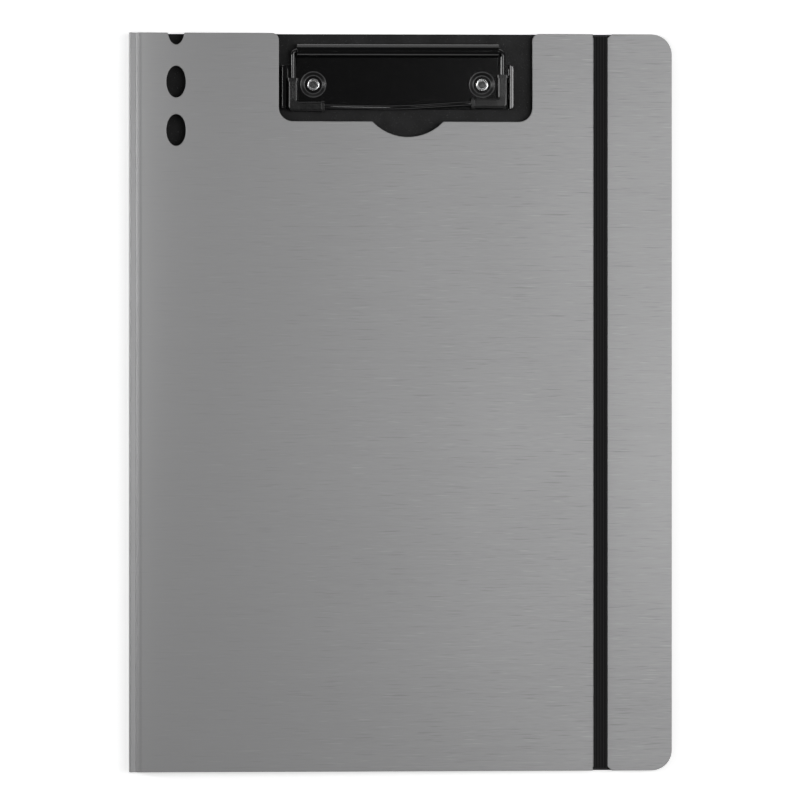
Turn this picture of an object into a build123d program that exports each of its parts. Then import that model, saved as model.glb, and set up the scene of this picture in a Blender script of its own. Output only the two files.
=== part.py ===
from build123d import *

import math

# A4 clipboard folder, closed and lying on its back, in millimetres.
# X runs from the spine to the fore edge, Y to the top edge where the clip is, Z out of the front cover.
# The origin is under the middle of the folder, on the surface it lies on.

# Folder
folder_width = 232.0
folder_height = 315.0
spine_height = 10.0
fore_edge_gap = 0.8
fore_corner_radius = 8.7
sheet_thickness = 1.8
skin_thickness = 0.3

# Pressed creases on both sides of the spine
crease_inset = 2.8
crease_half_width = 1.7
crease_depth = 0.8
crease_play = 0.15
spine_corner_radius = 1.0
spine_inner_radius = 0.4

# Cut-out of the front cover round the clip, with its thumb notch
cutout_left_gap = 1.1
cutout_right_gap = 7.8
cutout_floor_gap = 5.3
cutout_floor_radius = 6.0
cutout_mouth_radius = 3.0
thumb_offset = 0.9
thumb_radius = 20.7
thumb_depth = 6.6
thumb_corner_radius = 1.2

# Row of oval holes beside the spine, the last one cut by the top edge
oval_setback = 20.1
oval_drops = (20.9, 41.5)
oval_width = 8.3
oval_length = 13.5
edge_oval_width = 7.3
edge_oval_overhang = 1.65

# Elastic closure band and the notches it lies in
band_setback = 30.6
band_width = 6.0
band_thickness = 0.7
band_tail = 15.0
band_bend_radius = 0.75
band_clearance = 0.1
band_seat = 0.05
notch_side_play = 0.25
notch_depth = 1.5
notch_flare = 1.6

# Eyelets that pin the ends of the band to the back board
eyelet_setback = 9.5
eyelet_radius = 1.5
eyelet_bore_radius = 1.15
eyelet_flange_radius = 2.8
eyelet_flange_thickness = 0.25

# Steel base plate of the clip, laid out from the axis of its knuckle
clip_x = -1.35
clip_steel = 0.7
knuckle_setback = 7.5
knuckle_length = 86.1
knuckle_diameter = 6.2
neck_length = 5.5
plate_reach = 24.8
plate_corner_radius = 0.9
ear_leg_clearance = 2.75
ear_wall_height = 4.3
ear_lip_reach = 1.6
ear_lip_rise = 1.2
ear_slant = 1.8
ear_tip_radius = 1.4

# Pressed dimples round the rivets of the clip
rivet_inset = 6.95
rivet_reach = 14.1
dimple_depth = 0.8
dimple_floor_radius = 3.9
dimple_mouth_radius = 5.4

# Tubular rivets
rivet_shank_radius = 1.9
rivet_head_radius = 2.65
rivet_head_height = 0.6
rivet_cup_radius = 1.95
rivet_cup_depth = 0.45
rivet_rim_radius = 0.3
rivet_tail_radius = 3.2
rivet_tail_thickness = 0.35
rivet_clearance = 0.05
tail_recess_play = 0.1

# Spring wire bail
wire_diameter = 2.2
wire_running_clearance = 0.08
wire_end_gap = 2.0
bail_leg_offset = 1.75
bail_shoulder_radius = 1.7
bail_corner_radius = 2.0
crossbar_reach = 22.9
crossbar_bow = 1.3
crossbar_skew = 0.75
crossbar_bend_share = 0.3

# Plastic corner caps on the bail
cap_arm_width = 4.2
cap_leg_length = 12.0
cap_bar_length = 13.4
cap_seat_gap = 0.15
cap_bore_clearance = 0.12
cap_edge_radius = 1.0
cap_outer_corner_radius = 1.8
cap_inner_corner_radius = 0.5
collar_length = 1.3
collar_rise = 0.35
rib_groove_count = 3
rib_groove_width = 0.4
rib_groove_depth = 0.3
rib_groove_pitch = 1.0
rib_plain_corner = 2.6

# Worked out from the sizes above
half_height = folder_height / 2
spine_x = -folder_width / 2
fore_x = folder_width / 2
crease_x = spine_x + crease_inset
leaf_run = fore_x - crease_x
board_top_z = sheet_thickness
cover_drop = spine_height - 2 * sheet_thickness - fore_edge_gap
cover_tilt = math.atan2(cover_drop, leaf_run)
front_length = leaf_run / math.cos(cover_tilt)
oval_x = spine_x + oval_setback
band_x = fore_x - band_setback

knuckle_y = half_height - knuckle_setback
plate_shoulder_y = knuckle_y - neck_length
plate_front_y = knuckle_y - plate_reach
rivet_y = knuckle_y - rivet_reach
rivet_spacing = knuckle_length - 2 * rivet_inset
bail_leg_spacing = knuckle_length + 2 * bail_leg_offset
lip_angle = math.atan2(ear_lip_rise, ear_lip_reach)
ear_foot = bail_leg_spacing / 2 + ear_leg_clearance + clip_steel / 2
ear_tip = ear_foot + ear_lip_reach
ear_outside = ear_tip + clip_steel / 2 * math.sin(lip_angle)

cutout_left_x = clip_x - ear_outside - cutout_left_gap
cutout_right_x = clip_x + ear_outside + cutout_right_gap
cutout_floor_y = plate_front_y - cutout_floor_gap
thumb_x = (cutout_left_x + cutout_right_x) / 2 + thumb_offset

plate_under_z = board_top_z + dimple_depth
plate_middle_z = plate_under_z + clip_steel / 2
plate_top_z = plate_under_z + clip_steel
knuckle_z = plate_under_z + knuckle_diameter / 2
ear_bend_z = plate_middle_z + ear_wall_height
ear_tip_z = ear_bend_z + ear_lip_rise
ear_top_z = ear_tip_z + clip_steel / 2 * math.cos(lip_angle)
dimple_floor_z = board_top_z + clip_steel
cap_half_height = knuckle_z - plate_top_z - cap_seat_gap

# The back leaf faces down and the front leaf faces up, and both start at their crease.
back_leaf = Plane(origin=(crease_x, 0, 0), x_dir=(1, 0, 0), z_dir=(0, 0, -1))
front_leaf = Plane(
    origin=(crease_x, 0, spine_height),
    x_dir=(math.cos(cover_tilt), 0, -math.sin(cover_tilt)),
    z_dir=(math.sin(cover_tilt), 0, math.cos(cover_tilt)),
)
back_face = Plane(origin=(0, 0, 0), x_dir=(1, 0, 0), z_dir=(0, 0, -1))

rivet_places = [(clip_x + side * rivet_spacing / 2, rivet_y) for side in (-1, 1)]
eyelet_places = [(band_x, side * (half_height - eyelet_setback)) for side in (-1, 1)]


def along_front(x):
    """Distance from the crease, measured along the sloping front cover, to the place above x."""
    return (x - crease_x) / math.cos(cover_tilt)


def cover_top_z(x):
    """Height of the front cover's outer face above x."""
    return spine_height - (x - crease_x) * math.tan(cover_tilt)


def across(leaf):
    """Plane of a section across a leaf, with the leaf's own outward direction up."""
    return Plane(origin=leaf.origin, x_dir=leaf.x_dir, z_dir=leaf.x_dir.cross(leaf.z_dir))


def back_places(places):
    """The same places seen from below, where Y runs the other way."""
    return [(x, -y) for x, y in places]


def leaf_outline(length):
    """Flat outline of a cover leaf from its crease to its rounded fore edge."""
    with BuildSketch() as outline:
        with Locations((length / 2, 0)):
            Rectangle(length, folder_height)
        fillet(outline.vertices().group_by(Axis.X)[-1], fore_corner_radius)
    return outline.sketch


def pressed_surface(length, depth):
    """Points along a leaf's outer surface, sunk by depth, with the slope down into its crease."""
    return [
        (crease_play, -crease_depth - depth),
        (crease_half_width, -depth),
        (length, -depth),
    ]


def spine_surface(depth):
    """Points round the outside of the spine, sunk by depth, from the back crease to the front one."""
    return [
        (crease_x - crease_play, crease_depth + depth),
        (crease_x - crease_half_width, depth),
        (spine_x + depth, depth),
        (spine_x + depth, spine_height - depth),
        (crease_x - crease_half_width, spine_height - depth),
        (crease_x - crease_play, spine_height - crease_depth - depth),
    ]


def board_section(length):
    """Section of a leaf's board, which lies under the skin."""
    return [
        *pressed_surface(length, skin_thickness),
        (length, -sheet_thickness),
        (crease_play, -sheet_thickness),
    ]


def skin_section(length):
    """Section of a leaf's skin."""
    return [*pressed_surface(length, 0), *reversed(pressed_surface(length, skin_thickness))]


def leaf_layer(leaf, outline, section):
    """One layer of a leaf: its flat outline, cut to the section of that layer."""
    with BuildPart() as layer:
        with BuildSketch(leaf):
            add(outline)
        extrude(amount=-sheet_thickness)
        with BuildSketch(across(leaf)):
            with BuildLine():
                Polyline(*section, close=True)
            make_face()
        extrude(amount=half_height, both=True, mode=Mode.INTERSECT)
    return layer.part


def spine_layer(section, outer_radius, inner_radius):
    """One layer of the spine: its section with both folds rounded, along the whole height."""
    with BuildPart() as layer:
        with BuildSketch(Plane.XZ) as fold:
            with BuildLine():
                Polyline(*section, close=True)
            make_face()
            by_x = fold.vertices().group_by(Axis.X)
            fillet(by_x[0], outer_radius)
            fillet(by_x[1], inner_radius)
        extrude(amount=half_height, both=True)
    return layer.part


def turning_plane(place):
    """Upright plane through a rivet's axis, with X away from the axis and Y up."""
    return Plane(origin=(*place, 0), x_dir=(1, 0, 0), z_dir=(0, -1, 0))


def turning_axis(place):
    """A rivet's upright axis."""
    return Axis((*place, 0), (0, 0, 1))


def corners_on_line(shape, y, left, right):
    """Corners of an outline that lie at height y between two sides."""
    near = 0.01
    return shape.vertices().filter_by(lambda v: abs(v.Y - y) < near and left - near < v.X < right + near)


# Outlines of the two leaves
back_outline = leaf_outline(leaf_run)

cutout_left = along_front(cutout_left_x)
cutout_right = along_front(cutout_right_x)
cutout_height = half_height - cutout_floor_y
thumb_u = along_front(thumb_x)
notch_left = along_front(band_x - band_width / 2 - notch_side_play)
notch_right = along_front(band_x + band_width / 2 + notch_side_play)

with BuildSketch() as front_outline:
    add(leaf_outline(front_length))
    # Cut-out, open at the top edge
    with Locations(((cutout_left + cutout_right) / 2, half_height)):
        Rectangle(cutout_right - cutout_left, 2 * cutout_height, mode=Mode.SUBTRACT)
    fillet(corners_on_line(front_outline, cutout_floor_y, cutout_left, cutout_right), cutout_floor_radius)
    fillet(corners_on_line(front_outline, half_height, cutout_left, cutout_right), cutout_mouth_radius)
    # Thumb notch below it
    with Locations((thumb_u, cutout_floor_y - thumb_depth + thumb_radius)):
        Circle(thumb_radius, mode=Mode.SUBTRACT)
    fillet(
        corners_on_line(front_outline, cutout_floor_y, thumb_u - thumb_radius, thumb_u + thumb_radius),
        thumb_corner_radius,
    )
    # Oval holes, and the one that the edge cuts
    with Locations(*[(along_front(oval_x), half_height - drop) for drop in oval_drops]):
        Ellipse(oval_width / 2, oval_length / 2, mode=Mode.SUBTRACT)
    with Locations((along_front(oval_x), half_height + edge_oval_overhang)):
        Ellipse(edge_oval_width / 2, oval_length / 2, mode=Mode.SUBTRACT)
    # Notches for the band, flared towards the fore edge
    for side in (-1, 1):
        floor_y = side * (half_height - notch_depth)
        mouth_y = side * half_height
        beyond_y = side * (half_height + notch_depth)
        with BuildLine():
            Polyline(
                (notch_left, floor_y),
                (notch_right, floor_y),
                (notch_right + notch_flare, mouth_y),
                (notch_right + notch_flare, beyond_y),
                (notch_left, beyond_y),
                close=True,
            )
        make_face(mode=Mode.SUBTRACT)


# Back cover: foamed board inside, brushed skin outside
with BuildPart() as back_board:
    add(leaf_layer(back_leaf, back_outline, board_section(leaf_run)))
    with Locations(back_face):
        with Locations(*back_places(rivet_places)):
            CounterBoreHole(
                rivet_shank_radius + rivet_clearance,
                rivet_tail_radius + tail_recess_play,
                rivet_tail_thickness + tail_recess_play,
                depth=sheet_thickness,
            )
        with Locations(*back_places(eyelet_places)):
            CounterBoreHole(
                eyelet_radius + rivet_clearance,
                eyelet_flange_radius + tail_recess_play,
                eyelet_flange_thickness + 2 * tail_recess_play,
                depth=sheet_thickness,
            )

with BuildPart() as back_skin:
    add(leaf_layer(back_leaf, back_outline, skin_section(leaf_run)))
    with Locations(back_face):
        with Locations(*back_places(rivet_places)):
            Hole(rivet_tail_radius + tail_recess_play, depth=sheet_thickness)
        with Locations(*back_places(eyelet_places)):
            Hole(eyelet_flange_radius + tail_recess_play, depth=sheet_thickness)


# Spine: one folded channel with short lips that end at the creases
spine_inside = [
    (crease_x - crease_play, spine_height - sheet_thickness),
    (spine_x + sheet_thickness, spine_height - sheet_thickness),
    (spine_x + sheet_thickness, sheet_thickness),
    (crease_x - crease_play, sheet_thickness),
]
film_inner_radius = spine_corner_radius - skin_thickness
spine_board = spine_layer(
    [*spine_surface(skin_thickness), *spine_inside], film_inner_radius, spine_inner_radius
)
spine_skin = spine_layer(
    [*spine_surface(0), *reversed(spine_surface(skin_thickness))], spine_corner_radius, film_inner_radius
)


# Front cover: the same sheet, sloping down to the fore edge, with its cut-outs
front_board = leaf_layer(front_leaf, front_outline.sketch, board_section(front_length))
front_skin = leaf_layer(front_leaf, front_outline.sketch, skin_section(front_length))


# Clip base plate: one piece of sheet steel, with ears bent up at its sides and flared at their tops,
# a knuckle rolled one and a half turns at its top edge for the wire to turn in, and two pressed dimples
knuckle_radius = (knuckle_diameter - clip_steel) / 2
bore_radius = wire_diameter / 2 + wire_running_clearance
roll_step = (knuckle_radius - bore_radius - clip_steel / 2) / 2
dimple_blank_radius = dimple_mouth_radius + clip_steel

with BuildPart() as clip_base_plate:
    # Plate and ears as one bent strip
    with BuildSketch(Plane.XZ.offset(-plate_shoulder_y)):
        with BuildLine():
            FilletPolyline(
                (clip_x - ear_tip, ear_tip_z),
                (clip_x - ear_foot, ear_bend_z),
                (clip_x - ear_foot, plate_middle_z),
                (clip_x + ear_foot, plate_middle_z),
                (clip_x + ear_foot, ear_bend_z),
                (clip_x + ear_tip, ear_tip_z),
                radius=plate_corner_radius,
            )
        trace(line_width=clip_steel)
    extrude(amount=plate_shoulder_y - plate_front_y)
    # Side view of the ears: slanted at the knuckle's end, with rounded tips
    with BuildSketch(Plane.YZ.offset(clip_x)) as ear_profile:
        with BuildLine():
            Polyline(
                (plate_front_y, plate_top_z),
                (plate_front_y, ear_top_z),
                (plate_shoulder_y, ear_top_z),
                (plate_shoulder_y - ear_slant, plate_top_z),
                close=True,
            )
        make_face()
        fillet(ear_profile.vertices().group_by(Axis.Y)[-1], ear_tip_radius)
        with Locations(((plate_front_y + plate_shoulder_y) / 2, plate_middle_z)):
            Rectangle(plate_shoulder_y - plate_front_y, clip_steel)
    extrude(amount=ear_outside + clip_steel, both=True, mode=Mode.INTERSECT)
    # Neck and rolled knuckle
    with BuildSketch(Plane.YZ.offset(clip_x)):
        with BuildLine():
            Line((plate_shoulder_y, plate_middle_z), (knuckle_y, plate_middle_z))
            roll_z = plate_middle_z
            for half_turn, side in enumerate((1, -1, 1)):
                roll_radius = knuckle_radius - half_turn * roll_step
                rise = side * roll_radius
                ThreePointArc(
                    (knuckle_y, roll_z),
                    (knuckle_y + side * roll_radius, roll_z + rise),
                    (knuckle_y, roll_z + 2 * rise),
                )
                roll_z += 2 * rise
        trace(line_width=clip_steel)
    extrude(amount=knuckle_length / 2, both=True)
    # Dimples, pressed down until they stand on the board
    with BuildSketch(Plane.XY.offset(plate_under_z)):
        with Locations(*rivet_places):
            Circle(dimple_blank_radius)
    extrude(amount=clip_steel, mode=Mode.SUBTRACT)
    for place in rivet_places:
        with BuildSketch(turning_plane(place)):
            with BuildLine():
                Polyline(
                    (rivet_shank_radius + rivet_clearance, board_top_z),
                    (dimple_floor_radius, board_top_z),
                    (dimple_mouth_radius, plate_under_z),
                    (dimple_blank_radius, plate_under_z),
                    (dimple_blank_radius, plate_top_z),
                    (dimple_mouth_radius, plate_top_z),
                    (dimple_floor_radius, dimple_floor_z),
                    (rivet_shank_radius + rivet_clearance, dimple_floor_z),
                    close=True,
                )
            make_face()
        revolve(axis=turning_axis(place))


# Rivets of the clip: a cupped head in the dimple, a tail rolled over in the back of the board
rivet_tail_z = tail_recess_play
with BuildPart() as clip_rivets:
    for place in rivet_places:
        with BuildSketch(turning_plane(place)) as rivet_section:
            with BuildLine():
                Polyline(
                    (0, rivet_tail_z + rivet_tail_thickness),
                    (rivet_cup_radius / 2, rivet_tail_z),
                    (rivet_tail_radius, rivet_tail_z),
                    (rivet_tail_radius, rivet_tail_z + rivet_tail_thickness),
                    (rivet_shank_radius, rivet_tail_z + rivet_tail_thickness),
                    (rivet_shank_radius, dimple_floor_z),
                    (rivet_head_radius, dimple_floor_z),
                    (rivet_head_radius, dimple_floor_z + rivet_head_height),
                    (rivet_cup_radius, dimple_floor_z + rivet_head_height),
                    (rivet_cup_radius, dimple_floor_z + rivet_head_height - rivet_cup_depth),
                    (0, dimple_floor_z + rivet_head_height - rivet_cup_depth),
                    close=True,
                )
            make_face()
            rim = rivet_section.vertices().group_by(Axis.Y)[-1]
            fillet(rim, rivet_rim_radius)
        revolve(axis=turning_axis(place))


# Spring wire bail: its two arms lie in the knuckle, and its crossbar grips the paper
left_leg_x = clip_x - bail_leg_spacing / 2
right_leg_x = clip_x + bail_leg_spacing / 2
crossbar_y = knuckle_y - crossbar_reach
left_bar_y = crossbar_y - crossbar_skew
right_bar_y = crossbar_y + crossbar_skew
left_mouth = (left_leg_x + cap_bar_length, left_bar_y)
bar_middle = (clip_x, crossbar_y - crossbar_bow)
right_mouth = (right_leg_x - cap_bar_length, right_bar_y)


def gentle_radius(before, corner, after):
    """Radius of the gentle bend at a corner, which takes its share of the shorter run beside it."""
    run_in = Vector(*corner) - Vector(*before)
    run_out = Vector(*after) - Vector(*corner)
    half_turn = math.radians(run_in.get_angle(run_out) / 2)
    shorter = min(run_in.length, run_out.length)
    return shorter * crossbar_bend_share / math.tan(half_turn)


with BuildPart() as wire_bail:
    with BuildLine(Plane.XY.offset(knuckle_z)) as bail_path:
        FilletPolyline(
            (clip_x - wire_end_gap / 2, knuckle_y),
            (left_leg_x, knuckle_y),
            (left_leg_x, left_bar_y),
            left_mouth,
            bar_middle,
            right_mouth,
            (right_leg_x, right_bar_y),
            (right_leg_x, knuckle_y),
            (clip_x + wire_end_gap / 2, knuckle_y),
            radius=[
                bail_shoulder_radius,
                bail_corner_radius,
                gentle_radius((left_leg_x, left_bar_y), left_mouth, bar_middle),
                gentle_radius(left_mouth, bar_middle, right_mouth),
                gentle_radius(bar_middle, right_mouth, (right_leg_x, right_bar_y)),
                bail_corner_radius,
                bail_shoulder_radius,
            ],
        )
    with BuildSketch(Plane(origin=bail_path.line @ 0, z_dir=bail_path.line % 0)):
        Circle(wire_diameter / 2)
    sweep(path=bail_path.line)


def corner_cap(corner_x, corner_y, inward):
    """Moulded cap over one corner of the bail, with a collar at the end of each of its two arms."""
    base_z = knuckle_z - cap_half_height
    arm_height = 2 * cap_half_height - collar_rise
    collar_width = cap_arm_width + 2 * collar_rise
    bar_end_x = corner_x + inward * cap_bar_length
    leg_end_y = corner_y + cap_leg_length
    with BuildPart() as cap:
        with BuildSketch(Plane.XY.offset(base_z)) as cap_outline:
            with BuildLine():
                Polyline((bar_end_x, corner_y), (corner_x, corner_y), (corner_x, leg_end_y))
            trace(line_width=cap_arm_width)
            with Locations((corner_x, corner_y)):
                Rectangle(cap_arm_width, cap_arm_width)
            half_arm = cap_arm_width / 2
            outside = cap_outline.vertices().sort_by_distance(
                (corner_x - inward * half_arm, corner_y - half_arm)
            )[0]
            fillet(outside, cap_outer_corner_radius)
            inside = cap_outline.vertices().sort_by_distance(
                (corner_x + inward * half_arm, corner_y + half_arm)
            )[0]
            fillet(inside, cap_inner_corner_radius)
        extrude(amount=arm_height)
        flats = cap.faces().filter_by(Axis.Z).sort_by(Axis.Z)
        fillet(flats[0].edges() + flats[-1].edges(), cap_edge_radius)
        # Collars
        bar_collar = Plane(
            origin=(bar_end_x - inward * collar_length, corner_y, knuckle_z),
            x_dir=(0, 1, 0),
            z_dir=(inward, 0, 0),
        )
        leg_collar = Plane(
            origin=(corner_x, leg_end_y - collar_length, knuckle_z),
            x_dir=(1, 0, 0),
            z_dir=(0, 1, 0),
        )
        with BuildSketch(bar_collar, leg_collar):
            RectangleRounded(collar_width, 2 * cap_half_height, cap_edge_radius)
        extrude(amount=collar_length)
        # Grip grooves along the top of both arms
        bar_groove = cap_bar_length - collar_length - rib_plain_corner
        leg_groove = cap_leg_length - collar_length - rib_plain_corner
        with BuildSketch(Plane.XY.offset(base_z + arm_height)):
            with Locations((corner_x + inward * (rib_plain_corner + bar_groove / 2), corner_y)):
                with GridLocations(0, rib_groove_pitch, 1, rib_groove_count):
                    SlotOverall(bar_groove, rib_groove_width)
            with Locations((corner_x, corner_y + rib_plain_corner + leg_groove / 2)):
                with GridLocations(rib_groove_pitch, 0, rib_groove_count, 1):
                    SlotOverall(leg_groove, rib_groove_width, rotation=90)
        extrude(amount=-rib_groove_depth, mode=Mode.SUBTRACT)
        # Bore for the wire
        with BuildLine(Plane.XY.offset(knuckle_z)) as bore_path:
            FilletPolyline(
                (bar_end_x + inward * collar_length, corner_y),
                (corner_x, corner_y),
                (corner_x, leg_end_y + collar_length),
                radius=bail_corner_radius,
            )
        with BuildSketch(Plane(origin=bore_path.line @ 0, z_dir=bore_path.line % 0)):
            Circle(wire_diameter / 2 + cap_bore_clearance)
        sweep(path=bore_path.line, mode=Mode.SUBTRACT)
    return cap.part


corner_cap_left = corner_cap(left_leg_x, left_bar_y, 1)
corner_cap_right = corner_cap(right_leg_x, right_bar_y, -1)


# Elastic band: one flat strip that lies across the front cover, turns round its two notched
# edges and ends on the back board
band_near_x = band_x - band_width / 2
band_run_z = cover_top_z(band_near_x) + band_clearance + band_thickness / 2
band_tail_z = board_top_z + band_seat + band_thickness / 2
band_edge_y = half_height - notch_depth + band_clearance + band_thickness / 2
band_tail_y = half_height - band_tail

with BuildPart() as elastic_band:
    with BuildSketch(Plane.YZ.offset(band_near_x)):
        with BuildLine():
            FilletPolyline(
                (-band_tail_y, band_tail_z),
                (-band_edge_y, band_tail_z),
                (-band_edge_y, band_run_z),
                (band_edge_y, band_run_z),
                (band_edge_y, band_tail_z),
                (band_tail_y, band_tail_z),
                radius=band_bend_radius,
            )
        trace(line_width=band_thickness)
    extrude(amount=band_width)
    with Locations(Plane.XY.offset(band_tail_z)):
        with Locations(*eyelet_places):
            Cylinder(eyelet_radius + rivet_clearance, 2 * band_thickness, mode=Mode.SUBTRACT)


# Eyelets: a flange on the band, a tube through the board and a flange sunk into its back
eyelet_top_z = band_tail_z + band_thickness / 2 + rivet_clearance
with BuildPart() as band_eyelets:
    for place in eyelet_places:
        with BuildSketch(turning_plane(place)):
            with BuildLine():
                Polyline(
                    (eyelet_bore_radius, tail_recess_play),
                    (eyelet_flange_radius, tail_recess_play),
                    (eyelet_flange_radius, tail_recess_play + eyelet_flange_thickness),
                    (eyelet_radius, tail_recess_play + eyelet_flange_thickness),
                    (eyelet_radius, eyelet_top_z),
                    (eyelet_flange_radius, eyelet_top_z),
                    (eyelet_flange_radius, eyelet_top_z + eyelet_flange_thickness),
                    (eyelet_bore_radius, eyelet_top_z + eyelet_flange_thickness),
                    close=True,
                )
            make_face()
        revolve(axis=turning_axis(place))


finished = {
    "back_board": back_board.part,
    "back_skin": back_skin.part,
    "spine_board": spine_board,
    "spine_skin": spine_skin,
    "front_board": front_board,
    "front_skin": front_skin,
    "clip_base_plate": clip_base_plate.part,
    "clip_rivets": clip_rivets.part,
    "wire_bail": wire_bail.part,
    "corner_cap_left": corner_cap_left,
    "corner_cap_right": corner_cap_right,
    "elastic_band": elastic_band.part,
    "band_eyelets": band_eyelets.part,
}

for name, part in finished.items():
    part.label = name
    export_step(part, f"parts/{name}.step")
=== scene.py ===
"""Looks of the clipboard folder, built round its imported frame, in metres and in the same axes."""

import sys

import logging
import math
from collections.abc import Sequence
from dataclasses import dataclass
from enum import Enum
from typing import Any

import bmesh
import bpy
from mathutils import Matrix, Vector


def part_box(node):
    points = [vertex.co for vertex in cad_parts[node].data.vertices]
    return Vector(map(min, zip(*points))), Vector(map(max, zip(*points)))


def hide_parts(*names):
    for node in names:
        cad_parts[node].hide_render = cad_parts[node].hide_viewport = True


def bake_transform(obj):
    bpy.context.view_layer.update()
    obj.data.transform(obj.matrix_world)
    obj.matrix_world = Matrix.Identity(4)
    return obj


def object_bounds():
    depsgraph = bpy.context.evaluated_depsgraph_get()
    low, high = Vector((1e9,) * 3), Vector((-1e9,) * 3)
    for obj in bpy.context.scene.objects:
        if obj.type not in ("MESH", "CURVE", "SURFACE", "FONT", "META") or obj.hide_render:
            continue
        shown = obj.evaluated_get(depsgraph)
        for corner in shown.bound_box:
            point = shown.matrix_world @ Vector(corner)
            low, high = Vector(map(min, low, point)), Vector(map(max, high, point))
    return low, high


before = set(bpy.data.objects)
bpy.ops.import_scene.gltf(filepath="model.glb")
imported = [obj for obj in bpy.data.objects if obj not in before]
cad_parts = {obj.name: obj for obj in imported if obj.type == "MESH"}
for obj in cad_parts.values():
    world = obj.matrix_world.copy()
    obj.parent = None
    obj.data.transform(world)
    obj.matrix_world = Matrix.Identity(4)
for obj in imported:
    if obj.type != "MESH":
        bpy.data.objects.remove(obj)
cad_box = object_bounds()

log = logging.getLogger("clipboard")
MM = 0.001
FLAT_PLACE = "flat_place"
WEAVE_PLACE = "weave_place"
FLAT_NORMAL = "flat_normal"
BEVEL_SAMPLES = 6


class Body(str, Enum):
    """Bodies of the frame, by name."""

    BOARD = "board"
    SPINE = "spine"
    COVER = "cover"
    BAND = "band"


class Side(Enum):
    """Which way a film faces."""

    FRONT = 1
    BACK = -1


# Node trees


class Signal:
    """One value in a node tree. Arithmetic on it adds the Math nodes."""

    def __init__(self, graph: "Graph", socket: bpy.types.NodeSocket) -> None:
        """Wraps an output socket of a graph's node."""
        self.graph = graph
        self.socket = socket

    def _with(self, operation: str, *others: "Signal | float") -> "Signal":
        """Result of a Math node whose first input is this value."""
        return self.graph.math(operation, self, *others)

    def __add__(self, other: "Signal | float") -> "Signal":
        """Sum."""
        return self._with("ADD", other)

    __radd__ = __add__

    def __sub__(self, other: "Signal | float") -> "Signal":
        """Difference."""
        return self._with("SUBTRACT", other)

    def __rsub__(self, other: float) -> "Signal":
        """Difference, the other way round."""
        return self.graph.math("SUBTRACT", other, self)

    def __mul__(self, other: "Signal | float") -> "Signal":
        """Product."""
        return self._with("MULTIPLY", other)

    def __truediv__(self, other: "Signal | float") -> "Signal":
        """Quotient."""
        return self._with("DIVIDE", other)

    def __pow__(self, other: "Signal | float") -> "Signal":
        """Power."""
        return self._with("POWER", other)

    def __abs__(self) -> "Signal":
        """Distance from zero."""
        return self._with("ABSOLUTE")

    def sine(self) -> "Signal":
        """Sine of an angle in radians."""
        return self._with("SINE")

    def cosine(self) -> "Signal":
        """Cosine of an angle in radians."""
        return self._with("COSINE")

    def sign(self) -> "Signal":
        """Minus one, zero or one."""
        return self._with("SIGN")

    def between(self, low: float, high: float) -> "Signal":
        """Smooth step of this value.

        Args:
            low: value up to which the step is 0.
            high: value from which it is 1.

        Returns:
            The step.
        """
        step = self.graph.node(
            "ShaderNodeMapRange",
            {"interpolation_type": "SMOOTHSTEP"},
            {"Value": self, "From Min": low, "From Max": high},
        )
        return Signal(self.graph, step.outputs["Result"])


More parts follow.
